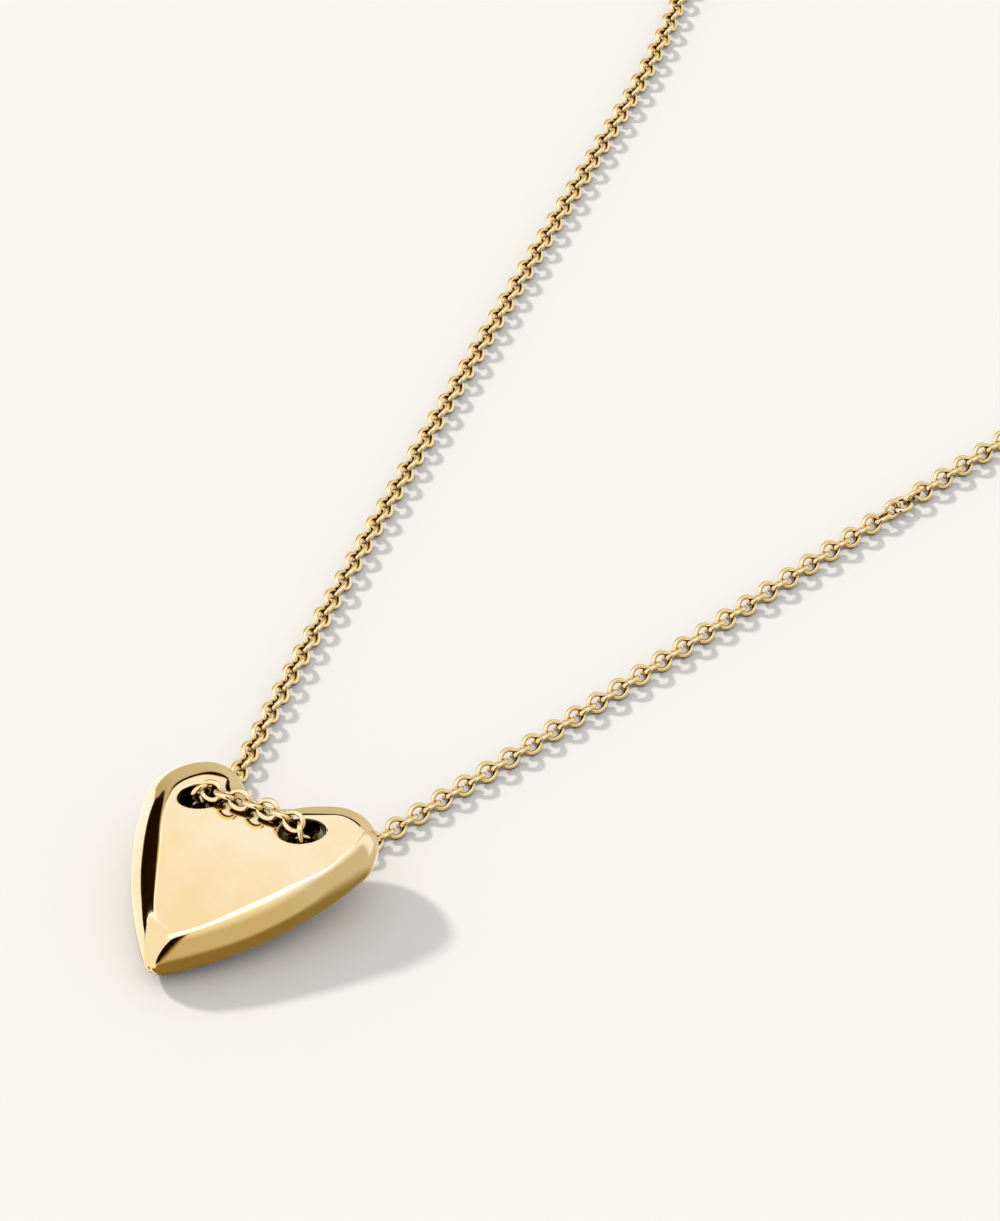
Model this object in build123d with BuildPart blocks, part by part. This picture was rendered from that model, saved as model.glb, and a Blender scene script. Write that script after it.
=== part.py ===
from build123d import *
import math
import os

# A cast heart pendant on a fine cable chain, lying on a flat surface. The chain is one closed loop. It comes
# up through a slot in the left lobe, crosses the heart's front and goes down through a slot in the right lobe.
# Lengths are in millimetres, Z is up, the surface is Z = 0 and the heart's tip points along -Y.

os.makedirs("parts", exist_ok=True)

# Where the heart's own origin stands in the part, so that the whole loop is centred on the part's origin
heart_x = -2.92
heart_y = -86.93

# Outline of the heart at its widest level, in its own plane: x to the right lobe, y from the tip to the
# lobes. Each half is a long side arc, a shoulder arc round the end of the lobe and a top arc to the notch.
right_lobe_x = 5.2
right_lobe_y = 14.5
right_shoulder_radius = 3.2
right_side_radius = 27.2
right_side_angle = 168.0
right_top_radius = 9.5
right_top_angle = 114.8
left_lobe_x = -5.2
left_lobe_y = 12.7
left_shoulder_radius = 4.2
left_side_radius = 29.4
left_side_angle = 20.3
left_top_radius = 3.4
left_top_angle = 118.7
notch_radius = 3.2
tip_radius = 0.6
sharpest_tip = 0.12

# Section of the heart: half thicknesses, and how far the rounded edge reaches in from the outline
front_height = 2.2
back_height = 2.2
front_edge = 1.8
back_edge = 2.2
edge_angles = [20, 40, 60, 75]

# The chain, as thick as its links stand on the surface, and its clearances over the heart's front and under
# its back
chain_diameter = 1.2
front_gap = 0.15
back_gap = 0.35

# Rounds of working out how far the heart leans on the chain
slope_steps = 12

# The two slots: where each stands beside the centre of its lobe, its size and turn, and its eased rims
left_hole_across = 0.44
left_hole_up = 0.03
right_hole_across = -1.81
right_hole_up = -1.02
hole_length = 3.5
hole_width = 2.3
hole_turn = 32.0
rim_size = 0.2

# Bends of the chain's route: the radius at a slot's edge, the least turn that counts as one, and otherwise
# the share of the shorter run that a bend takes up
tight_bend = 1.3
sharp_turn = 60.0
bend_share = 0.45

# The clasp: a plain closed ring with a lug at each side
clasp_ring_radius = 2.0
clasp_lug_length = 1.3

chain_radius = chain_diameter / 2
clasp_half_length = clasp_ring_radius + clasp_lug_length


def along(angle):
    """Unit vector in the heart's plane at an angle in degrees."""
    return Vector(math.cos(math.radians(angle)), math.sin(math.radians(angle)))


def angle_to(start, end):
    """Direction from one point to another in degrees."""
    return math.degrees(math.atan2(end.Y - start.Y, end.X - start.X))


def common_centre(first, first_radius, second, second_radius, upward):
    """The point at two given distances from two centres, the upper or the lower of the two answers."""
    line = second - first
    reach = line.length
    foot = (first_radius**2 - second_radius**2 + reach**2) / (2 * reach)
    rise = math.sqrt(first_radius**2 - foot**2)
    unit = line.normalized()
    across = Vector(-unit.Y, unit.X)
    answers = [first + unit * foot + across * rise, first + unit * foot - across * rise]
    return max(answers, key=lambda point: point.Y if upward else -point.Y)


# Arc centres of the outline, shared by every level
right_shoulder = Vector(right_lobe_x, right_lobe_y)
right_side = right_shoulder + along(right_side_angle) * (right_side_radius - right_shoulder_radius)
right_top = right_shoulder - along(right_top_angle) * (right_top_radius - right_shoulder_radius)
left_shoulder = Vector(left_lobe_x, left_lobe_y)
left_side = left_shoulder + along(left_side_angle) * (left_side_radius - left_shoulder_radius)
left_top = left_shoulder - along(left_top_angle) * (left_top_radius - left_shoulder_radius)
notch = common_centre(
    right_top, right_top_radius + notch_radius, left_top, left_top_radius + notch_radius, upward=True
)


def outline_arcs(inset):
    """Centre, radius, start angle and span of each arc of the outline moved inwards, in one closed run."""
    tip = max(tip_radius - inset, sharpest_tip)
    tip_centre = common_centre(
        right_side, right_side_radius - inset - tip, left_side, left_side_radius - inset - tip, upward=False
    )
    joints = [
        (tip_centre, tip, angle_to(left_side, tip_centre), angle_to(right_side, tip_centre), 1),
        (
            right_side,
            right_side_radius - inset,
            angle_to(right_side, tip_centre),
            angle_to(right_side, right_shoulder),
            1,
        ),
        (
            right_shoulder,
            right_shoulder_radius - inset,
            angle_to(right_side, right_shoulder),
            right_top_angle,
            1,
        ),
        (right_top, right_top_radius - inset, right_top_angle, angle_to(right_top, notch), 1),
        (notch, notch_radius + inset, angle_to(notch, right_top), angle_to(notch, left_top), -1),
        (left_top, left_top_radius - inset, angle_to(left_top, notch), left_top_angle, 1),
        (
            left_shoulder,
            left_shoulder_radius - inset,
            left_top_angle,
            angle_to(left_side, left_shoulder),
            1,
        ),
        (
            left_side,
            left_side_radius - inset,
            angle_to(left_side, left_shoulder),
            angle_to(left_side, tip_centre),
            1,
        ),
    ]
    arcs = []
    for centre, radius, start, end, way in joints:
        span = (end - start) % 360 if way > 0 else -((start - end) % 360)
        arcs.append((centre, radius, start, span))
    return arcs


# Levels of the loft from the back face to the front face: height above the widest level, and inset
heart_levels = [(-back_height, back_edge)]
heart_levels += [
    (-back_height * math.sin(math.radians(angle)), back_edge * (1 - math.cos(math.radians(angle))))
    for angle in reversed(edge_angles)
]
heart_levels.append((0.0, 0.0))
heart_levels += [
    (front_height * math.sin(math.radians(angle)), front_edge * (1 - math.cos(math.radians(angle))))
    for angle in edge_angles
]
heart_levels.append((front_height, front_edge))

hole_centres = {
    "left": left_shoulder + Vector(left_hole_across, left_hole_up),
    "right": right_shoulder + Vector(right_hole_across, right_hole_up),
}


def seat_height(slope):
    """How high the heart's origin stands when its tip rests on the surface at this slope, in radians."""
    depths = []
    for height, inset in heart_levels:
        centre, radius = outline_arcs(inset)[0][:2]
        depths.append((centre.Y - radius) * math.sin(slope) + height * math.cos(slope))
    return -min(depths)


# The heart's tip rests on the surface and its lobes are propped on the chain: a few rounds find the slope
tilt = 0.0
for step in range(slope_steps):
    back_rise = chain_diameter + back_gap + back_height * math.cos(tilt) - seat_height(tilt)
    tilt = math.asin(back_rise / hole_centres["left"].Y)

# The plane of the heart's widest level: its y runs up the slope from the tip to the lobes
heart_plane = Plane(
    origin=(heart_x, heart_y, seat_height(tilt)),
    x_dir=(1, 0, 0),
    z_dir=(0, -math.sin(tilt), math.cos(tilt)),
)

# The heart
with BuildPart() as heart:
    for height, inset in heart_levels:
        with BuildSketch(heart_plane.offset(height)):
            with BuildLine():
                for centre, radius, start, span in outline_arcs(inset):
                    CenterArc((centre.X, centre.Y), radius, start, span)
            make_face()
    loft()
    with BuildSketch(heart_plane):
        with Locations(*hole_centres.values()):
            Ellipse(hole_length / 2, hole_width / 2, rotation=hole_turn)
    extrude(amount=front_height + back_height, both=True, mode=Mode.SUBTRACT)
    for face, outward in ((front_height, rim_size), (-back_height, -rim_size)):
        for hole_centre in hole_centres.values():
            for height, widening in ((face - outward, 0), (face + outward, 2 * rim_size)):
                with BuildSketch(heart_plane.offset(height)):
                    with Locations(hole_centre):
                        Ellipse(hole_length / 2 + widening, hole_width / 2 + widening, rotation=hole_turn)
            loft(mode=Mode.SUBTRACT)
heart.part.label = "heart"
export_step(heart.part, "parts/heart.step")


# The chain's centre line runs clear above the front face and at its own radius above the surface
front_line = front_height + chain_radius + front_gap


def over_front(place):
    """A point of the chain's centre line on the heart's front, from its place in the heart's plane."""
    return heart_plane.from_local_coords(Vector(place.X, place.Y, front_line))


def under_back(place):
    """The same place followed down through the slot to the surface."""
    top = over_front(place)
    normal = heart_plane.z_dir
    depth = (top.Z - chain_radius) / normal.Z
    return top - normal * depth


def between(start, end, share, bow):
    """A place at a share of the way from start to end, moved across that way by the bow."""
    way = end - start
    unit = way.normalized()
    return start + way * share + Vector(-unit.Y, unit.X) * bow


def on_surface(x, y):
    """A point of the chain lying on the surface, from its place beside the heart's origin."""
    return Vector(heart_x + x, heart_y + y, chain_radius)


# Chosen points of the route. The chain's place in each slot is beside the slot's centre. The crossing has two
# points, each with a share of its way from slot to slot and its bow there. The two strands and the plain round
# behind the neck lie on the surface, beside the heart's origin.
left_pass = hole_centres["left"] + Vector(-0.15, 0.1)
right_pass = hole_centres["right"] + Vector(-0.22, -0.28)
crossing = [(0.39, 0.29), (0.68, 0.40)]
left_strand = [(-7.07, 20.5), (-10.28, 33.65), (-15.3, 57.3), (-21.8, 90.0), (-27.0, 117.5)]
left_round = [(-37.9, 143.5), (-37.5, 158.5), (-26.6, 169.0), (-8.6, 172.6)]
right_strand = [(6.18, 22.55), (10.86, 39.33), (19.8, 73.2), (29.5, 106.9)]
right_round = [(44.09, 143.0), (42.68, 158.0), (32.9, 168.0), (16.3, 171.7)]

# The clasp sits in the middle of the run between the last points of the two rounds
left_end = on_surface(*left_round[-1])
right_end = on_surface(*right_round[-1])
clasp_middle = (left_end + right_end) * 0.5
clasp_way = (right_end - left_end).normalized()

# The two halves of the chain meet in the middle of the front crossing
left_crossing, right_crossing = [over_front(between(left_pass, right_pass, *point)) for point in crossing]
front_meeting = (left_crossing + right_crossing) * 0.5

left_route = [clasp_middle - clasp_way * clasp_half_length]
left_route += [on_surface(*point) for point in reversed(left_round)]
left_route += [on_surface(*point) for point in reversed(left_strand)]
left_route += [under_back(left_pass), over_front(left_pass), left_crossing, front_meeting]

right_route = [front_meeting, right_crossing, over_front(right_pass), under_back(right_pass)]
right_route += [on_surface(*point) for point in right_strand]
right_route += [on_surface(*point) for point in right_round]
right_route.append(clasp_middle + clasp_way * clasp_half_length)


def bend_radii(route):
    """A radius for each corner: as large as its two runs allow, and tight at the edges of a slot."""
    radii = []
    for before, corner, after in zip(route, route[1:], route[2:]):
        turn = (corner - before).get_angle(after - corner)
        shorter = min((corner - before).length, (after - corner).length)
        widest = bend_share * shorter / math.tan(math.radians(turn) / 2)
        radii.append(min(widest, tight_bend) if turn > sharp_turn else widest)
    return radii


# The chain from the clasp's left lug to the middle of the front crossing
with BuildPart() as chain_left:
    with BuildLine() as left_line:
        FilletPolyline(*left_route, radius=bend_radii(left_route))
    with BuildSketch(Plane(origin=left_line.line @ 0, z_dir=left_line.line % 0)):
        Circle(chain_radius)
    sweep()
chain_left.part.label = "chain_left"
export_step(chain_left.part, "parts/chain_left.step")

# The chain from the middle of the front crossing to the clasp's right lug
with BuildPart() as chain_right:
    with BuildLine() as right_line:
        FilletPolyline(*right_route, radius=bend_radii(right_route))
    with BuildSketch(Plane(origin=right_line.line @ 0, z_dir=right_line.line % 0)):
        Circle(chain_radius)
    sweep()
chain_right.part.label = "chain_right"
export_step(chain_right.part, "parts/chain_right.step")

# The clasp: a round ring that lies on the surface, with a lug on each side that the chain meets face to face
ring_plane = Plane(origin=clasp_middle, x_dir=clasp_way, z_dir=(0, 0, 1))
lug_plane = Plane(origin=clasp_middle, z_dir=clasp_way)
with BuildPart() as clasp:
    with BuildSketch(Plane(origin=clasp_middle, x_dir=clasp_way, z_dir=ring_plane.y_dir)):
        with Locations((clasp_ring_radius, 0)):
            Circle(chain_radius)
    revolve(axis=Axis(clasp_middle, (0, 0, 1)))
    for way in (-1, 1):
        with BuildSketch(lug_plane.offset(way * clasp_half_length)):
            Circle(chain_radius)
        extrude(amount=-way * (clasp_half_length - clasp_ring_radius))
clasp.part.label = "clasp"
export_step(clasp.part, "parts/clasp.step")

chain_lengths = []
for name, line, piece, route in (
    ("left", left_line, chain_left, left_route),
    ("right", right_line, chain_right, right_route),
):
    length = sum(edge.length for edge in line.edges())
    chain_lengths.append(length)
    print(name, "length", round(length, 1), "radii", [round(radius, 1) for radius in bend_radii(route)])
    print(name, "volume over section times length", piece.part.volume / (math.pi * chain_radius**2 * length))
print("whole loop", round(sum(chain_lengths) + 2 * clasp_half_length, 1))
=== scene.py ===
import math

import bmesh
import bpy
import numpy as np
from mathutils import Matrix, Vector


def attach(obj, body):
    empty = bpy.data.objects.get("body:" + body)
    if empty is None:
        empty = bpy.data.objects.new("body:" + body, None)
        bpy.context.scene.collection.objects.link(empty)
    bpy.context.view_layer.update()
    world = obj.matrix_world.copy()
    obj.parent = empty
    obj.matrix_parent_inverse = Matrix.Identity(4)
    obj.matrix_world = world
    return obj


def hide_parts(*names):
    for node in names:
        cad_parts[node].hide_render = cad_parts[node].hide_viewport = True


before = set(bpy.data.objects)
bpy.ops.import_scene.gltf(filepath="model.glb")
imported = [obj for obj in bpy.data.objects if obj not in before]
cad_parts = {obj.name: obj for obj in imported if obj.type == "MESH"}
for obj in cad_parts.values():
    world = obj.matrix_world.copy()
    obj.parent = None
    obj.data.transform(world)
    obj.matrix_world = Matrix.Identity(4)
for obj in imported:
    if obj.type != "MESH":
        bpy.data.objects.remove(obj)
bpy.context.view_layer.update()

# A cast gold heart on a fine cable chain, lying on a pale floor. Lengths are in millimetres up to the point
# where a mesh is made, which is in metres like the frame. Angles are in degrees.

MM = 0.001

# Where the heart's own plane stands: its origin, and its slope up from the tip to the lobes
HEART_ORIGIN = np.array([-2.92, -86.93, 1.94])
HEART_SLOPE = 8.074

# The heart's outline in its own plane, with the same arcs as the part's source: centre of each shoulder, and
# the radius and joining angle of each arc
RIGHT_SHOULDER = np.array([5.2, 14.5])
RIGHT_SHOULDER_RADIUS = 3.2
RIGHT_SIDE_RADIUS = 27.2
RIGHT_SIDE_ANGLE = 168.0
RIGHT_TOP_RADIUS = 9.5
RIGHT_TOP_ANGLE = 114.8
LEFT_SHOULDER = np.array([-5.2, 12.7])
LEFT_SHOULDER_RADIUS = 4.2
LEFT_SIDE_RADIUS = 29.4
LEFT_SIDE_ANGLE = 20.3
LEFT_TOP_RADIUS = 3.4
LEFT_TOP_ANGLE = 118.7
NOTCH_RADIUS = 3.2
TIP_BLEND = 0.8
TIP_SPREAD = 1.1

# The heart's section: half thickness, reach of the rounded back edge, and the reach of the rounded front edge
# by direction from the middle of the heart, clockwise from the notch
HALF_THICKNESS = 2.2
BACK_EDGE = 2.2
HEART_MIDDLE = np.array([0.0, 9.0])
FRONT_EDGE = [
    (-180, 1.3), (-165, 1.6), (-145, 2.05), (-110, 2.4), (-75, 2.35), (-50, 2.7), (-38, 1.95), (-15, 1.1),
    (15, 1.35), (34, 1.9), (46, 1.4), (60, 1.05), (72, 0.95), (86, 1.35), (110, 1.58), (140, 1.58), (165, 1.3),
]

# The two slots: centres, length, width, turn and the radius of their polished rims
SLOTS = [(-4.76, 12.73), (3.39, 13.48)]
SLOT_LENGTH = 3.35
SLOT_WIDTH = 2.15
SLOT_TURN = 32.0
RIM_RADIUS = 0.15

# Size of the voxels that the heart's mesh starts from, and the rounds that carry it to the smooth surface
VOXEL = 0.105
SMOOTH_ROUNDS = 10
LARGEST_MOVE = 0.15
DIFFERENCE = 0.002

# Links: an oval of round wire. Half length and half width of the wire's middle line, the wire's radius, the
# mesh of a link, the usual spacing (taut links stand 1.13 apart) and how far each leans from upright
LINK_HALF_LENGTH = 0.755
LINK_HALF_WIDTH = 0.63
WIRE_RADIUS = 0.19
LINK_SIDES = 34
WIRE_SIDES = 12
PITCH = 1.105
LINK_LEAN = 45.0

# The chain's route, point by point as in the part's source, from the clasp to the meeting on the heart's front
CHAIN_Z = 0.615
LEFT_ROUTE = [
    (-2.37, 85.34, CHAIN_Z), (-11.52, 85.67, CHAIN_Z), (-29.52, 82.07, CHAIN_Z), (-40.42, 71.57, CHAIN_Z),
    (-40.82, 56.57, CHAIN_Z), (-29.92, 30.57, CHAIN_Z), (-24.72, 3.07, CHAIN_Z), (-18.22, -29.63, CHAIN_Z),
    (-13.2, -53.28, CHAIN_Z), (-9.99, -66.43, CHAIN_Z), (-8.7, -71.5, CHAIN_Z), (-8.4, -73.6, CHAIN_Z),
    (-8.3, -74.2, 1.0), (-8.15, -74.4, 3.6), (-7.85, -74.6, 5.6), (-7.6, -74.6, 6.6),
    (-6.8, -74.5, 6.75), (-4.6, -74.24, 6.75), (-3.47, -74.12, 6.76),
]
RIGHT_ROUTE = [
    (4.23, 85.1, CHAIN_Z), (13.38, 84.77, CHAIN_Z), (29.98, 81.07, CHAIN_Z), (39.76, 71.07, CHAIN_Z),
    (41.17, 56.07, CHAIN_Z), (26.58, 19.97, CHAIN_Z), (16.88, -13.73, CHAIN_Z), (8.19, -47.67, CHAIN_Z),
    (3.26, -64.38, CHAIN_Z), (1.3, -71.4, CHAIN_Z), (0.9, -73.2, CHAIN_Z), (0.75, -73.6, 1.0),
    (0.65, -73.9, 4.2), (0.6, -74.15, 5.9), (0.4, -74.1, 6.6), (-0.5, -73.95, 6.8),
    (-2.2, -73.95, 6.78), (-3.47, -74.12, 6.76),
]
# By distance back from the meeting on the heart's front: the place of each half's first link, the turn of the
# links about their line, and their spacing up to each distance
LEFT_FIRST = 0.0
LEFT_ROLLS = [(0, -2.5), (4, -2.5), (14, 0.0), (500, 0.0)]
LEFT_PITCHES = [(3, 1.13), (17, 1.005), (500, PITCH)]
RIGHT_FIRST = 1.13
RIGHT_ROLLS = [(0, -5.6), (4, -5.6), (14, 0.0), (66, 0.0), (74, 90.0), (500, 90.0)]
RIGHT_PITCHES = [(17.8, 1.118), (40, 1.099), (75, 1.122), (500, 1.1025)]
LINE_STEPS = 40

# The clasp: a plain spring ring lying flat, with its lever's knob and a jump ring at each side
CLASP_MIDDLE = (0.93, 85.22, 0.62)
CLASP_RADIUS = 1.75
CLASP_WIRE = 0.42
KNOB_RADIUS = 0.16
KNOB_WIRE = 0.2
KNOB_ASIDE = 0.6
KNOB_OUT = 0.5
JUMP_RADIUS = 0.66
JUMP_WIRE = 0.16
JUMP_LEAN = -42.0
JUMP_OUT = 0.55


# The heart


def along(angle):
    """Unit vector at an angle in the plane."""
    return np.array([math.cos(math.radians(angle)), math.sin(math.radians(angle))])


def angle_to(start, end):
    """Direction from one point of the plane to another."""
    return math.degrees(math.atan2(end[1] - start[1], end[0] - start[0]))


RIGHT_SIDE = RIGHT_SHOULDER + along(RIGHT_SIDE_ANGLE) * (RIGHT_SIDE_RADIUS - RIGHT_SHOULDER_RADIUS)
RIGHT_TOP = RIGHT_SHOULDER - along(RIGHT_TOP_ANGLE) * (RIGHT_TOP_RADIUS - RIGHT_SHOULDER_RADIUS)
LEFT_SIDE = LEFT_SHOULDER + along(LEFT_SIDE_ANGLE) * (LEFT_SIDE_RADIUS - LEFT_SHOULDER_RADIUS)
LEFT_TOP = LEFT_SHOULDER - along(LEFT_TOP_ANGLE) * (LEFT_TOP_RADIUS - LEFT_SHOULDER_RADIUS)


def notch_centre():
    """Centre of the notch's arc, which touches both top arcs from above."""
    reach_right = RIGHT_TOP_RADIUS + NOTCH_RADIUS
    reach_left = LEFT_TOP_RADIUS + NOTCH_RADIUS
    line = LEFT_TOP - RIGHT_TOP
    length = np.linalg.norm(line)
    foot = (reach_right**2 - reach_left**2 + length**2) / (2 * length)
    rise = math.sqrt(reach_right**2 - foot**2)
    unit = line / length
    across = np.array([-unit[1], unit[0]])
    answers = [RIGHT_TOP + foot * unit + rise * across, RIGHT_TOP + foot * unit - rise * across]
    return max(answers, key=lambda point: point[1])


NOTCH = notch_centre()
OUTSIDE = 1000.0
SIDE_REACH = 120.0

# The arcs between the two sides: centre, radius, first and last angle, and 1 where the metal is inside it
ARCS = [
    (RIGHT_SHOULDER, RIGHT_SHOULDER_RADIUS, angle_to(RIGHT_SIDE, RIGHT_SHOULDER), RIGHT_TOP_ANGLE, 1),
    (RIGHT_TOP, RIGHT_TOP_RADIUS, RIGHT_TOP_ANGLE, angle_to(RIGHT_TOP, NOTCH), 1),
    (NOTCH, NOTCH_RADIUS, angle_to(NOTCH, LEFT_TOP), angle_to(NOTCH, RIGHT_TOP), -1),
    (LEFT_TOP, LEFT_TOP_RADIUS, angle_to(LEFT_TOP, NOTCH), LEFT_TOP_ANGLE, 1),
    (LEFT_SHOULDER, LEFT_SHOULDER_RADIUS, LEFT_TOP_ANGLE, angle_to(LEFT_SIDE, LEFT_SHOULDER), 1),
]


def turn_about(places, centre):
    """Direction of each place from a centre."""
    return np.degrees(np.arctan2(places[:, 1] - centre[1], places[:, 0] - centre[0]))


def inside_depth(places):
    """How far each place of the plane is inside the heart's outline."""
    right = RIGHT_SIDE_RADIUS - np.linalg.norm(places - RIGHT_SIDE, axis=1)
    right_back = (angle_to(RIGHT_SIDE, RIGHT_SHOULDER) - turn_about(places, RIGHT_SIDE)) % 360
    right = np.where(right_back < SIDE_REACH, right, OUTSIDE)
    left = LEFT_SIDE_RADIUS - np.linalg.norm(places - LEFT_SIDE, axis=1)
    left_on = (turn_about(places, LEFT_SIDE) - angle_to(LEFT_SIDE, LEFT_SHOULDER)) % 360
    left = np.where(left_on < SIDE_REACH, left, OUTSIDE)
    nearest = np.minimum(right, left)
    blend = TIP_BLEND + TIP_SPREAD * np.clip(nearest, 0, 2)
    share = np.maximum(blend - np.abs(right - left), 0) / blend
    depth = nearest - share**2 * blend / 4
    for centre, radius, first, last, side in ARCS:
        gap = side * (radius - np.linalg.norm(places - centre, axis=1))
        held = (turn_about(places, centre) - first) % 360 <= (last - first) % 360
        depth = np.minimum(depth, np.where(held, gap, OUTSIDE))
    return depth


def front_edge_reach(places):
    """Reach of the rounded front edge at each place: a smooth curve through the given values."""
    turn = np.degrees(np.arctan2(places[:, 0] - HEART_MIDDLE[0], places[:, 1] - HEART_MIDDLE[1]))
    knots, values = np.array(FRONT_EDGE, dtype=float).T
    knots = np.concatenate([knots - 360, knots, knots + 360])
    values = np.tile(values, 3)
    slopes = np.gradient(values, knots)
    i = np.searchsorted(knots, turn, side="right") - 1
    width = knots[i + 1] - knots[i]
    t = (turn - knots[i]) / width
    return (
        (2 * t**3 - 3 * t**2 + 1) * values[i]
        + (t**3 - 2 * t**2 + t) * width * slopes[i]
        + (3 * t**2 - 2 * t**3) * values[i + 1]
        + (t**3 - t**2) * width * slopes[i + 1]
    )


def heart_size(points):
    """Signed distance, nearly, of points in the heart's own frame: negative in the metal."""
    places = points[:, :2]
    depth = inside_depth(places)
    edge = np.where(points[:, 2] > 0, front_edge_reach(places), BACK_EDGE)
    inward = np.maximum(edge - depth, 0) / edge
    height = np.abs(points[:, 2]) / HALF_THICKNESS
    size = (np.hypot(inward, height) - 1) * np.minimum(edge, HALF_THICKNESS)
    turn = math.radians(SLOT_TURN)
    for x, y in SLOTS:
        u = (places[:, 0] - x) * math.cos(turn) + (places[:, 1] - y) * math.sin(turn)
        v = -(places[:, 0] - x) * math.sin(turn) + (places[:, 1] - y) * math.cos(turn)
        ring = np.hypot(u / (SLOT_LENGTH / 2), v / (SLOT_WIDTH / 2)) + 1e-9
        slope = np.hypot(u / (SLOT_LENGTH / 2) ** 2, v / (SLOT_WIDTH / 2) ** 2) + 1e-9
        hole = -(ring - 1) * ring / slope
        size = np.minimum(np.maximum(size, hole), -RIM_RADIUS) + np.hypot(
            np.maximum(size + RIM_RADIUS, 0), np.maximum(hole + RIM_RADIUS, 0)
        )
    return size


def heart_slope(points):
    """Gradient of the heart's size at each point."""
    columns = []
    for axis in range(3):
        step = np.zeros(3)
        step[axis] = DIFFERENCE
        columns.append((heart_size(points + step) - heart_size(points - step)) / (2 * DIFFERENCE))
    return np.stack(columns, axis=1)


def heart_turn():
    """Rotation that carries the heart's own frame into the part's."""
    slope = math.radians(HEART_SLOPE)
    return np.array([
        [1, 0, 0],
        [0, math.cos(slope), -math.sin(slope)],
        [0, math.sin(slope), math.cos(slope)],
    ])


def new_piece(name, mesh):
    """An object in the scene for a mesh."""
    piece = bpy.data.objects.new(name, mesh)
    bpy.context.scene.collection.objects.link(piece)
    return piece


def vertices_of(mesh):
    """The mesh's points as an array."""
    flat = np.empty(len(mesh.vertices) * 3)
    mesh.vertices.foreach_get("co", flat)
    return flat.reshape(-1, 3)


def make_heart():
    """The heart with its soft, uneven edges: an even mesh from the CAD solid, carried to the smooth surface."""
    turn = heart_turn()
    start = bmesh.new()
    start.from_mesh(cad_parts["heart"].data)
    bmesh.ops.remove_doubles(start, verts=start.verts, dist=1e-7)
    rough = bpy.data.meshes.new("rough_heart")
    start.to_mesh(rough)
    start.free()
    own = (vertices_of(rough) / MM - HEART_ORIGIN) @ turn
    rough.vertices.foreach_set("co", own.ravel())
    rough.update()
    block = new_piece("rough_heart", rough)
    remesh = block.modifiers.new("even", "REMESH")
    remesh.mode = "VOXEL"
    remesh.voxel_size = VOXEL
    mesh = bpy.data.meshes.new_from_object(block.evaluated_get(bpy.context.evaluated_depsgraph_get()))
    bpy.data.objects.remove(block)
    points = vertices_of(mesh)
    for _ in range(SMOOTH_ROUNDS):
        slope = heart_slope(points)
        move = -heart_size(points)[:, None] * slope / np.maximum((slope**2).sum(axis=1), 0.05)[:, None]
        length = np.linalg.norm(move, axis=1)
        move *= np.minimum(1, LARGEST_MOVE / np.maximum(length, 1e-9))[:, None]
        points = points + move
    slope = heart_slope(points)
    normals = slope / np.linalg.norm(slope, axis=1)[:, None]
    mesh.vertices.foreach_set("co", ((points @ turn.T + HEART_ORIGIN) * MM).ravel())
    mesh.update()
    mesh.polygons.foreach_set("use_smooth", [True] * len(mesh.polygons))
    mesh.normals_split_custom_set_from_vertices((normals @ turn.T).tolist())
    mesh.name = "cast_heart"
    return new_piece("cast_heart", mesh)


# The chain and its clasp


def smooth_line(points):
    """Points along the smooth spline that the route's points control, in millimetres."""
    curve = bpy.data.curves.new("line", "CURVE")
    curve.dimensions = "3D"
    curve.resolution_u = LINE_STEPS
    spline = curve.splines.new("NURBS")
    spline.points.add(len(points) - 1)
    for point, place in zip(spline.points, points):
        point.co = (*place, 1)
    spline.order_u = 3
    spline.use_endpoint_u = True
    holder = new_piece("line", curve)
    mesh = bpy.data.meshes.new_from_object(holder)
    line = vertices_of(mesh)
    bpy.data.objects.remove(holder)
    bpy.data.meshes.remove(mesh)
    return line


def carried_frame(line):
    """Direction and carried upward vector at each point of a line that starts on the floor."""
    steps = np.gradient(line, axis=0)
    ahead = steps / np.linalg.norm(steps, axis=1)[:, None]
    up = np.empty_like(line)
    now = np.array([0.0, 0.0, 1.0])
    for i, way in enumerate(ahead):
        now = now - now.dot(way) * way
        now = now / np.linalg.norm(now)
        up[i] = now
    return ahead, up


def ring(half_length, half_width, wire, around, across):
    """Points and quads of a closed oval of round wire about the Z axis, long in X."""
    big = np.arange(around) * 2 * math.pi / around
    small = np.arange(across) * 2 * math.pi / across
    out_x, out_y = half_width * np.cos(big), half_length * np.sin(big)
    length = np.hypot(out_x, out_y)
    reach = wire * np.cos(small)[None]
    points = np.stack([
        (half_length * np.cos(big))[:, None] + reach * (out_x / length)[:, None],
        (half_width * np.sin(big))[:, None] + reach * (out_y / length)[:, None],
        np.broadcast_to(wire * np.sin(small)[None], (around, across)),
    ], axis=-1).reshape(-1, 3)
    i, j = np.meshgrid(np.arange(around), np.arange(across), indexing="ij")
    next_i, next_j = (i + 1) % around, (j + 1) % across
    quads = np.stack([
        i * across + j, next_i * across + j, next_i * across + next_j, i * across + next_j,
    ], axis=-1).reshape(-1, 4)
    return points, quads


def quad_mesh(name, points, quads):
    """A smooth mesh in metres from points in millimetres."""
    mesh = bpy.data.meshes.new(name)
    mesh.from_pydata((points * MM).tolist(), [], quads.tolist())
    mesh.polygons.foreach_set("use_smooth", [True] * len(mesh.polygons))
    mesh.update()
    return mesh


def spread(knots, places):
    """Values between knots, with a soft start and end to each change."""
    values = np.full(len(places), float(knots[0][1]))
    for (start, first), (end, last) in zip(knots, knots[1:]):
        share = np.clip((places - start) / (end - start), 0, 1)
        soft = share**2 * (3 - 2 * share)
        values = np.where(places >= start, first + (last - first) * soft, values)
    return values


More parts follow.
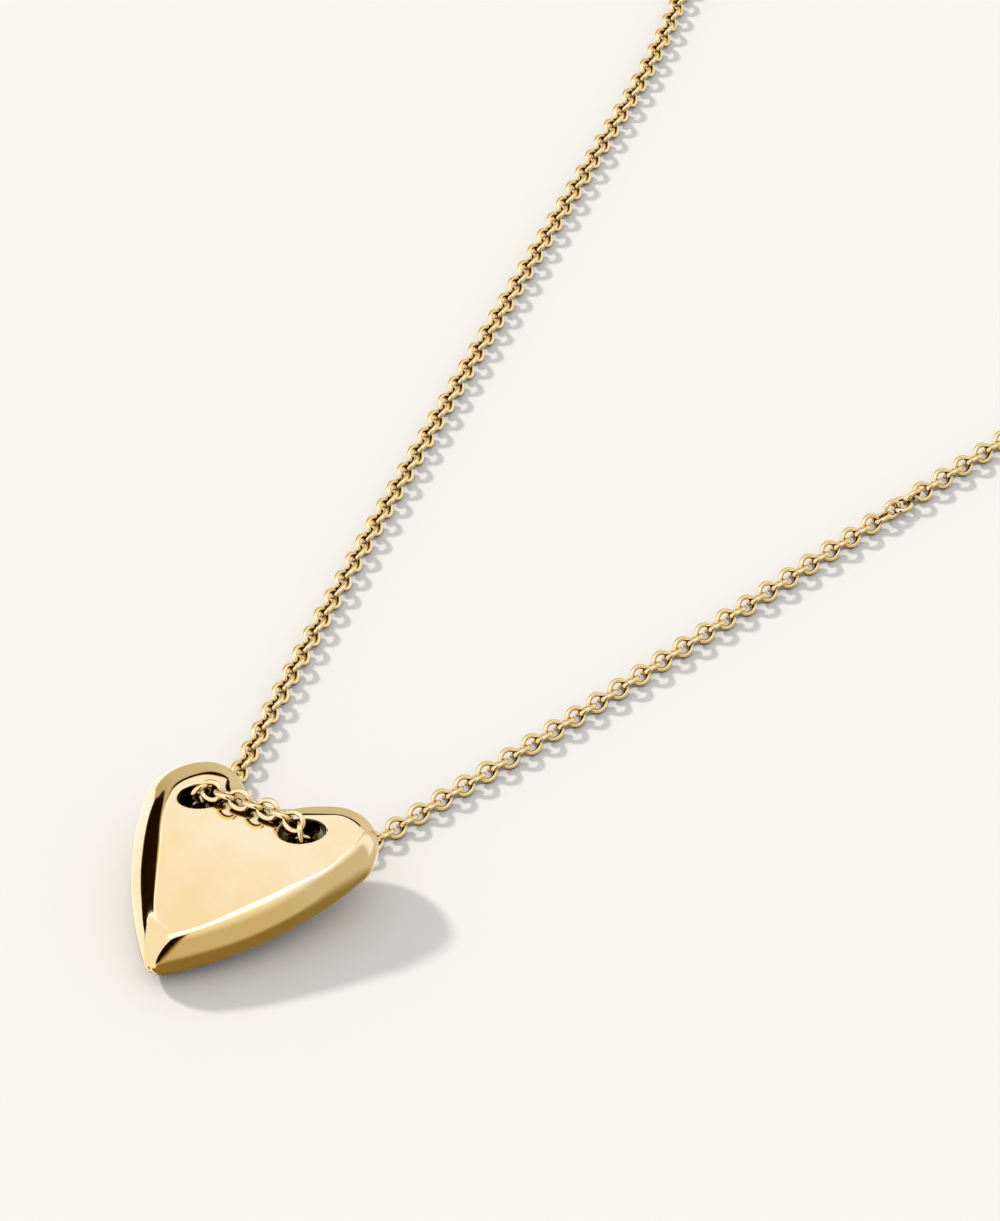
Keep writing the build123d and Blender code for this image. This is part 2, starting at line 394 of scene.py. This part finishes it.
def make_links(name, route, first, rolls, pitches):
    """One half of the chain: interlocking links along its line, leaning in turn to either side."""
    line = smooth_line(route)
    ahead, up = carried_frame(line)
    line, ahead, up = line[::-1], -ahead[::-1], up[::-1]
    reach = np.concatenate([[0], np.cumsum(np.linalg.norm(np.diff(line, axis=0), axis=1))])
    stops = [first]
    while True:
        pitch = next(value for limit, value in pitches if stops[-1] < limit)
        if stops[-1] + pitch > reach[-1]:
            break
        stops.append(stops[-1] + pitch)
    stops = np.array(stops)
    centres = np.stack([np.interp(stops, reach, line[:, k]) for k in range(3)], axis=1)
    ways = np.stack([np.interp(stops, reach, ahead[:, k]) for k in range(3)], axis=1)
    ups = np.stack([np.interp(stops, reach, up[:, k]) for k in range(3)], axis=1)
    rolls = spread(rolls, stops)
    template, quads = ring(LINK_HALF_LENGTH, LINK_HALF_WIDTH, WIRE_RADIUS, LINK_SIDES, WIRE_SIDES)
    points, faces = [], []
    for i in range(len(stops)):
        way = ways[i] / np.linalg.norm(ways[i])
        upward = ups[i] - ups[i].dot(way) * way
        upward /= np.linalg.norm(upward)
        side = np.cross(way, upward)
        lean = math.radians(rolls[i] + (LINK_LEAN if i % 2 else -LINK_LEAN))
        normal = math.cos(lean) * upward + math.sin(lean) * side
        across = np.cross(normal, way)
        lowest = math.hypot(LINK_HALF_LENGTH * way[2], LINK_HALF_WIDTH * across[2]) + WIRE_RADIUS
        centres[i, 2] = max(centres[i, 2], lowest)
        points.append(template @ np.stack([way, across, normal]) + centres[i])
        faces.append(quads + i * len(template))
    print(name, "links", len(stops), "length", round(reach[-1], 2), "left over", round(reach[-1] - stops[-1], 3))
    return new_piece(name, quad_mesh(name, np.concatenate(points), np.concatenate(faces)))


def make_clasp():
    """The clasp, closed: a spring ring with its lever's knob and a jump ring at each side."""
    middle = np.array(CLASP_MIDDLE)
    parts = []
    points, quads = ring(CLASP_RADIUS, CLASP_RADIUS, CLASP_WIRE, 72, 20)
    parts.append((points + middle, quads))
    knob, knob_quads = ring(KNOB_RADIUS, KNOB_RADIUS, KNOB_WIRE, 20, 12)
    stand = np.array([[1, 0, 0], [0, 0, 1], [0, -1, 0]])
    parts.append((knob @ stand + middle + np.array([KNOB_ASIDE, CLASP_RADIUS + KNOB_OUT, 0.0]), knob_quads))
    lean = math.radians(JUMP_LEAN)
    tip_over = np.array([
        [1, 0, 0],
        [0, math.cos(lean), math.sin(lean)],
        [0, -math.sin(lean), math.cos(lean)],
    ])
    jump, jump_quads = ring(JUMP_RADIUS, JUMP_RADIUS, JUMP_WIRE, 36, 12)
    for side in (-1, 1):
        offset = np.array([side * (CLASP_RADIUS + JUMP_OUT), 0.0, 0.0])
        parts.append((jump @ tip_over + middle + offset, jump_quads))
    points, faces, count = [], [], 0
    for some, quads in parts:
        points.append(some)
        faces.append(quads + count)
        count += len(some)
    return new_piece("spring_ring", quad_mesh("spring_ring", np.concatenate(points), np.concatenate(faces)))


# Materials


class Signal:
    """A number in a node tree, with ordinary arithmetic."""

    def __init__(self, graph, socket):
        self.graph = graph
        self.socket = socket

    def __add__(self, other):
        return self.graph.math("ADD", self, other)

    def __sub__(self, other):
        return self.graph.math("SUBTRACT", self, other)

    def __mul__(self, other):
        return self.graph.math("MULTIPLY", self, other)


class Graph:
    """Short calls for building a node tree."""

    def __init__(self, tree):
        self.tree = tree
        tree.nodes.clear()

    def node(self, kind, **settings):
        node = self.tree.nodes.new(kind)
        for key, value in settings.items():
            setattr(node, key, value)
        return node

    def feed(self, socket, value):
        """Links a socket to another node's output, or sets it."""
        if isinstance(value, Signal):
            value = value.socket
        if isinstance(value, bpy.types.NodeSocket):
            self.tree.links.new(value, socket)
        else:
            socket.default_value = value

    def math(self, operation, first, second=0.0, third=0.0):
        node = self.node("ShaderNodeMath", operation=operation)
        for socket, value in zip(node.inputs, (first, second, third)):
            self.feed(socket, value)
        return Signal(self, node.outputs[0])

    def ramp(self, value, low, high, at_low=0.0, at_high=1.0):
        """A soft change from one value to another between two limits."""
        node = self.node("ShaderNodeMapRange", interpolation_type="SMOOTHSTEP")
        for socket, given in zip(node.inputs, (value, low, high, at_low, at_high)):
            self.feed(socket, given)
        return Signal(self, node.outputs[0])

    def table(self, value, knots):
        """Straight runs between given pairs of value and answer."""
        places = [place for place, _ in knots]
        answers = [answer for _, answer in knots]
        low, high = min(answers), max(answers)
        share = self.node("ShaderNodeMapRange")
        for socket, given in zip(share.inputs, (value, places[0], places[-1], 0, 1)):
            self.feed(socket, given)
        node = self.node("ShaderNodeFloatCurve")
        curve = node.mapping.curves[0]
        while len(curve.points) < len(knots):
            curve.points.new(0.5, 0.5)
        for i, (place, answer) in enumerate(knots):
            at = (place - places[0]) / (places[-1] - places[0])
            curve.points[i].location = (at, (answer - low) / (high - low))
            curve.points[i].handle_type = "VECTOR"
        node.mapping.update()
        self.feed(node.inputs["Value"], share.outputs[0])
        return self.math("MULTIPLY_ADD", node.outputs[0], high - low, low)

    def mix(self, share, first, second):
        """A number between two others."""
        node = self.node("ShaderNodeMix", data_type="FLOAT")
        for socket, given in zip(node.inputs[:4], (share, None, first, second)):
            if given is not None:
                self.feed(socket, given)
        return Signal(self, node.outputs[0])

    def mix_colour(self, share, first, second):
        node = self.node("ShaderNodeMix", data_type="RGBA")
        for socket, given in zip((node.inputs[0], node.inputs[6], node.inputs[7]), (share, first, second)):
            self.feed(socket, given)
        return node.outputs[2]


# The gold's slow random shade, the painted shade that deepens it towards the heart's tip (from and to along Y, in
# metres), its polishing marks and the casting's unevenness. Scales are per metre.
SHADE_SCALE = 260.0
SHADE_SHARE = 0.5
SHADED_TIP_REACH = (-0.084, -0.074)
SHADED_TIP_SHARE = 0.75
MARKS_SCALE = (9000.0, 700.0, 2500.0)
MARKS_TURN = 28.0
UNEVEN_SCALE = 420.0


def gold(name, bright, deep, edge, wave, smooth, rough, painted_shade, reach, closed_to, open_from):
    """Polished gold, with lengths in metres. The colour varies at random from bright to deep, and painted shade
    deepens it further towards the heart's tip. The casting is uneven by the wave, and polishing marks vary the
    roughness
    from smooth to rough. Painted shade: crevices within the reach take a darker colour, full where they are as
    closed as closed_to, none from open_from."""
    material = bpy.data.materials.new(name)
    material.use_nodes = True
    graph = Graph(material.node_tree)
    place = graph.node("ShaderNodeTexCoord").outputs["Object"]
    shade = graph.node("ShaderNodeTexNoise")
    graph.feed(shade.inputs["Vector"], place)
    shade.inputs["Scale"].default_value = SHADE_SCALE
    shade.inputs["Detail"].default_value = 3.0
    along_y = graph.node("ShaderNodeSeparateXYZ")
    graph.feed(along_y.inputs[0], place)
    # Painted shade: the colour deepens towards the heart's tip, in place of the darker reflection there
    painted_tip_shade = graph.ramp(along_y.outputs[1], *SHADED_TIP_REACH, SHADED_TIP_SHARE, 0.0)
    colour = graph.mix_colour(graph.ramp(shade.outputs["Fac"], 0.3, 0.7, 0.0, SHADE_SHARE) + painted_tip_shade, bright, deep)
    # Painted shade: ambient occlusion darkens the colour towards painted_shade in slots, crevices, where parts
    # cross and near the floor
    shade_occlusion = graph.node("ShaderNodeAmbientOcclusion", samples=8)
    shade_occlusion.inputs["Distance"].default_value = reach
    colour = graph.mix_colour(graph.ramp(shade_occlusion.outputs["AO"], closed_to, open_from, 1, 0), colour, painted_shade)
    marks = graph.node("ShaderNodeTexNoise")
    stretched = graph.node("ShaderNodeMapping")
    graph.feed(stretched.inputs["Vector"], place)
    stretched.inputs["Scale"].default_value = MARKS_SCALE
    stretched.inputs["Rotation"].default_value = (0.0, 0.0, math.radians(MARKS_TURN))
    graph.feed(marks.inputs["Vector"], stretched.outputs[0])
    marks.inputs["Scale"].default_value = 1.0
    marks.inputs["Detail"].default_value = 4.0
    roughness = graph.ramp(marks.outputs["Fac"], 0.35, 0.75, smooth, rough)
    uneven = graph.node("ShaderNodeTexNoise")
    graph.feed(uneven.inputs["Vector"], place)
    uneven.inputs["Scale"].default_value = UNEVEN_SCALE
    uneven.inputs["Detail"].default_value = 1.0
    bump = graph.node("ShaderNodeBump")
    bump.inputs["Strength"].default_value = 1.0
    bump.inputs["Distance"].default_value = wave
    graph.feed(bump.inputs["Height"], uneven.outputs["Fac"])
    shader = graph.node("ShaderNodeBsdfPrincipled")
    shader.inputs["Metallic"].default_value = 1.0
    shader.inputs["Specular Tint"].default_value = edge
    graph.feed(shader.inputs["Base Color"], colour)
    graph.feed(shader.inputs["Roughness"], roughness)
    graph.feed(shader.inputs["Normal"], bump.outputs["Normal"])
    out = graph.node("ShaderNodeOutputMaterial")
    graph.feed(out.inputs["Surface"], shader.outputs[0])
    return material


BOARD_LIGHT = (0.802, 0.780, 0.746, 1)
BOARD_DARK = (0.798, 0.776, 0.741, 1)
BOARD_HALF = 1.5
BOARD_Z = -0.00001


def board_material():
    """Matt off-white board with a barely visible tooth."""
    material = bpy.data.materials.new("pale_board")
    material.use_nodes = True
    graph = Graph(material.node_tree)
    place = graph.node("ShaderNodeTexCoord").outputs["Object"]
    tooth = graph.node("ShaderNodeTexNoise")
    graph.feed(tooth.inputs["Vector"], place)
    tooth.inputs["Scale"].default_value = 900.0
    tooth.inputs["Detail"].default_value = 2.0
    shader = graph.node("ShaderNodeBsdfPrincipled")
    share = graph.ramp(tooth.outputs["Fac"], 0.2, 0.8)
    graph.feed(
        shader.inputs["Base Color"],
        graph.mix_colour(share, BOARD_LIGHT, BOARD_DARK),
    )
    shader.inputs["Roughness"].default_value = 0.95
    shader.inputs["Specular IOR Level"].default_value = 0.0
    out = graph.node("ShaderNodeOutputMaterial")
    graph.feed(out.inputs["Surface"], shader.outputs[0])
    return material


def make_board():
    """The board that the necklace lies on, which the gold's reflections leave out: they see the studio."""
    corners = [(x * BOARD_HALF, y * BOARD_HALF, BOARD_Z) for x, y in ((-1, -1), (1, -1), (1, 1), (-1, 1))]
    mesh = bpy.data.meshes.new("board")
    mesh.from_pydata(corners, [], [(0, 1, 2, 3)])
    mesh.materials.append(board_material())
    board = new_piece("board", mesh)
    board.visible_glossy = False
    return board


# Light and camera

# The camera looks down on the heart from the front right, through a long lens
CAMERA_PLACE = (0.17401, -0.32509, 0.30355)
CAMERA_TILT = 47.809
CAMERA_TURN = 32.0
CAMERA_LENS = 176.904
CAMERA_SENSOR = 36.0

# The even light on the floor, what shows beyond the board, and the key light
AMBIENT = (0.802, 0.822, 0.845, 1)
BACKDROP = (0.956, 0.93, 0.888, 1)
SUN_STRENGTH = 1.965
SUN_COLOUR = (1.0, 0.95, 0.89)
SUN_AZIMUTH = -54.0
SUN_ELEVATION = 39.0
SUN_ANGLE = 6.0

# Brightness of what the gold mirrors, and its powers in green and blue, which make the dim parts a deeper gold
WHITE_CARD = 0.96
LIT_FLOOR = 1.08
SHADED_FLOOR = 0.262
BLACK_CLOTH = 0.012
LEFT_WALL = 1.0
OVERHEAD = 1.5
NEAR_CARD = 0.01
GREEN_POWER = 1.25
BLUE_POWER = 2.08


def direction(azimuth, elevation):
    """Unit vector: azimuth 0 is straight away from the camera, 90 to its right."""
    az, el = math.radians(azimuth), math.radians(elevation)
    way = Vector((math.sin(az) * math.cos(el), math.cos(az) * math.cos(el), math.sin(el)))
    return Matrix.Rotation(math.radians(CAMERA_TURN), 3, "Z") @ way


def studio_reflection(graph):
    """Brightness of the studio that the polished gold mirrors, by direction."""
    coordinates = graph.node("ShaderNodeTexCoord").outputs["Generated"]
    turn = graph.node("ShaderNodeVectorRotate", rotation_type="Z_AXIS")
    graph.feed(turn.inputs["Vector"], coordinates)
    turn.inputs["Angle"].default_value = math.radians(-CAMERA_TURN)
    parts = graph.node("ShaderNodeSeparateXYZ")
    graph.feed(parts.inputs[0], turn.outputs[0])
    x, y, z = parts.outputs
    el = graph.math("ARCSINE", z) * math.degrees(1)
    az = graph.math("ARCTAN2", x, y) * math.degrees(1)
    ramp, mix = graph.ramp, graph.mix

    # At the right and towards the camera: a tan wall that brightens upwards, with a strip light and a white card
    strip = graph.math("POWER", graph.math("ABSOLUTE", az - 118) * (1 / 26), 4)
    strip = graph.math("EXPONENT", strip * -1) * ramp(el, 52, 72, 0, 0.2)
    front = ramp(el, 18, 60, 0.62, 0.925) + strip
    card = ramp(az, 48, 56) * ramp(az, 76, 92, 1, 0) * ramp(el, -30, -16)
    front = mix(card, front, WHITE_CARD)
    # Beyond the heart: a tan wall, and under its slanted edge the lit floor
    wall = graph.table(az, [(-46, 0.56), (-36, 0.5), (-20, 0.6), (0, 0.64), (30, 0.72)])
    slant = graph.table(az, [(-60, 28), (-50, 27), (-45, 25), (-38, 12), (-25, 0), (-10, -15), (0, -25), (10, -42)])
    level = mix(ramp(el - slant, -3, 3, 1, 0), wall, LIT_FLOOR)
    level = mix(ramp(az, 44, 60), level, front)
    # Black cloth under the overhead softbox: broad at the left, a thin line beyond the heart
    edge = graph.table(az, [
        (-66, -8), (-62, 8), (-57, 25), (-50, 39), (-42, 48), (-35, 53), (-28, 54.5), (-20, 53), (-14, 52),
        (0, 50), (20, 44), (40, 35), (45, 20),
    ])
    cloth = graph.table(az, [
        (-66, -26), (-60, -6), (-55, 6), (-50, 14), (-46, 17), (-42, 23), (-38, 32), (-33, 38), (-28, 50),
    ])
    black = ramp(el - cloth, -1, 1) * ramp(az, -31, -28, 1, 0)
    middle = graph.table(az, [(-24, 48), (-14, 45), (0, 42), (20, 37), (30, 31)])
    line = ramp(az, -25, -20) * ramp(az, 22, 28, 1, 0) * ramp(el - middle, -1, 1)
    level = mix(graph.math("MAXIMUM", black, line), level, BLACK_CLOTH)
    # The overhead softbox itself, brighter along its left edge, and a bright wall at the far left
    soft = ramp(az, -20, 10, 0.99, 0.96) + ramp(el - edge, 1, 7, 0.3, 0) * ramp(az, -24, -18, 1, 0)
    over = ramp(el - edge, -0.7, 0.7) * ramp(az, -66.1, -66) * ramp(az, 45, 45.1, 1, 0)
    level = mix(over, level, soft)
    level = mix(ramp(az, -66, -62, 1, 0), level, LEFT_WALL)
    # The shaded floor, low at the right and towards the camera
    bed = graph.table(az, [
        (-25, -41), (0, -41), (20, -46), (40, -52), (60, -48), (90, -41), (105, -35), (120, -28), (160, -32),
        (180, -40),
    ])
    level = mix(ramp(el - bed, -12, 6, 1, 0) * ramp(az, -32, -25), level, SHADED_FLOOR)
    level = mix(ramp(el, -52, -45, 1, 0) * ramp(az, -130, -110, 1, 0), level, SHADED_FLOOR)
    # Straight overhead, and a narrow black card on the near side
    level = mix(ramp(el, 66, 80), level, OVERHEAD)
    turned = graph.math("WRAP", az, 360, 0)
    near_side = ramp(turned, 164, 167) * ramp(turned, 185, 190, 1, 0)
    return mix(near_side * ramp(el, -36, -30) * ramp(el, 60, 66, 1, 0), level, NEAR_CARD)


def make_world():
    """Even light for the floor, and the studio's reflection for the gold."""
    world = bpy.data.worlds.new("studio")
    bpy.context.scene.world = world
    world.use_nodes = True
    world.cycles.sampling_method = "NONE"
    graph = Graph(world.node_tree)
    level = studio_reflection(graph)
    tint = graph.node("ShaderNodeCombineColor")
    graph.feed(tint.inputs[0], level)
    graph.feed(tint.inputs[1], graph.math("POWER", level, GREEN_POWER))
    graph.feed(tint.inputs[2], graph.math("POWER", level, BLUE_POWER))
    path = graph.node("ShaderNodeLightPath")
    seen = graph.mix_colour(path.outputs["Is Camera Ray"], AMBIENT, BACKDROP)
    seen = graph.mix_colour(path.outputs["Is Glossy Ray"], seen, tint.outputs[0])
    background = graph.node("ShaderNodeBackground")
    graph.feed(background.inputs["Color"], seen)
    out = graph.node("ShaderNodeOutputWorld")
    graph.feed(out.inputs["Surface"], background.outputs[0])


def make_sun():
    """The key light that casts the soft shadows, low from the left and behind."""
    lamp = bpy.data.lights.new("key", "SUN")
    lamp.energy = SUN_STRENGTH
    lamp.color = SUN_COLOUR
    lamp.angle = math.radians(SUN_ANGLE)
    key = bpy.data.objects.new("key", lamp)
    bpy.context.scene.collection.objects.link(key)
    source = direction(SUN_AZIMUTH, SUN_ELEVATION)
    key.rotation_euler = source.to_track_quat("Z", "Y").to_euler()
    key.visible_glossy = False


def make_camera():
    """The camera, where the photo was taken from."""
    lens = bpy.data.cameras.new("camera")
    lens.lens = CAMERA_LENS
    lens.sensor_width = CAMERA_SENSOR
    camera = bpy.data.objects.new("camera", lens)
    camera.location = CAMERA_PLACE
    camera.rotation_euler = (math.radians(CAMERA_TILT), 0.0, math.radians(CAMERA_TURN))
    bpy.context.scene.collection.objects.link(camera)
    bpy.context.scene.camera = camera


# The scene

heart = make_heart()
heart.data.materials.append(
    gold(
        "heart_gold", bright=(1.0, 0.86, 0.62, 1), deep=(0.96, 0.73, 0.39, 1), edge=(1, 1, 1, 1),
        wave=4e-7, smooth=0.035, rough=0.075,
        # Painted shade: near black in the slots, darker under the crossing strand and low on the sides
        painted_shade=(0.03, 0.018, 0.007, 1), reach=0.0028, closed_to=0.12, open_from=0.78,
    )
)
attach(heart, "root")
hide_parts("heart")

chain_gold = gold(
    "chain_gold", bright=(1.0, 0.84, 0.53, 1), deep=(1.0, 0.79, 0.43, 1), edge=(1.0, 0.75, 0.4, 1),
    wave=3e-7, smooth=0.02, rough=0.05,
    # Painted shade: dark brown where links cross and on their sides near the floor
    painted_shade=(0.11, 0.04, 0.002, 1), reach=0.00125, closed_to=0.38, open_from=0.66,
)
left_links = make_links("links_left", LEFT_ROUTE, LEFT_FIRST, LEFT_ROLLS, LEFT_PITCHES)
right_links = make_links("links_right", RIGHT_ROUTE, RIGHT_FIRST, RIGHT_ROLLS, RIGHT_PITCHES)
spring_ring = make_clasp()
for piece, node in ((left_links, "chain_left"), (right_links, "chain_right"), (spring_ring, "clasp")):
    piece.data.materials.append(chain_gold)
    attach(piece, "root")
    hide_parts(node)

board = make_board()

make_world()
make_sun()
make_camera()
bpy.context.scene.view_settings.view_transform = "Standard"
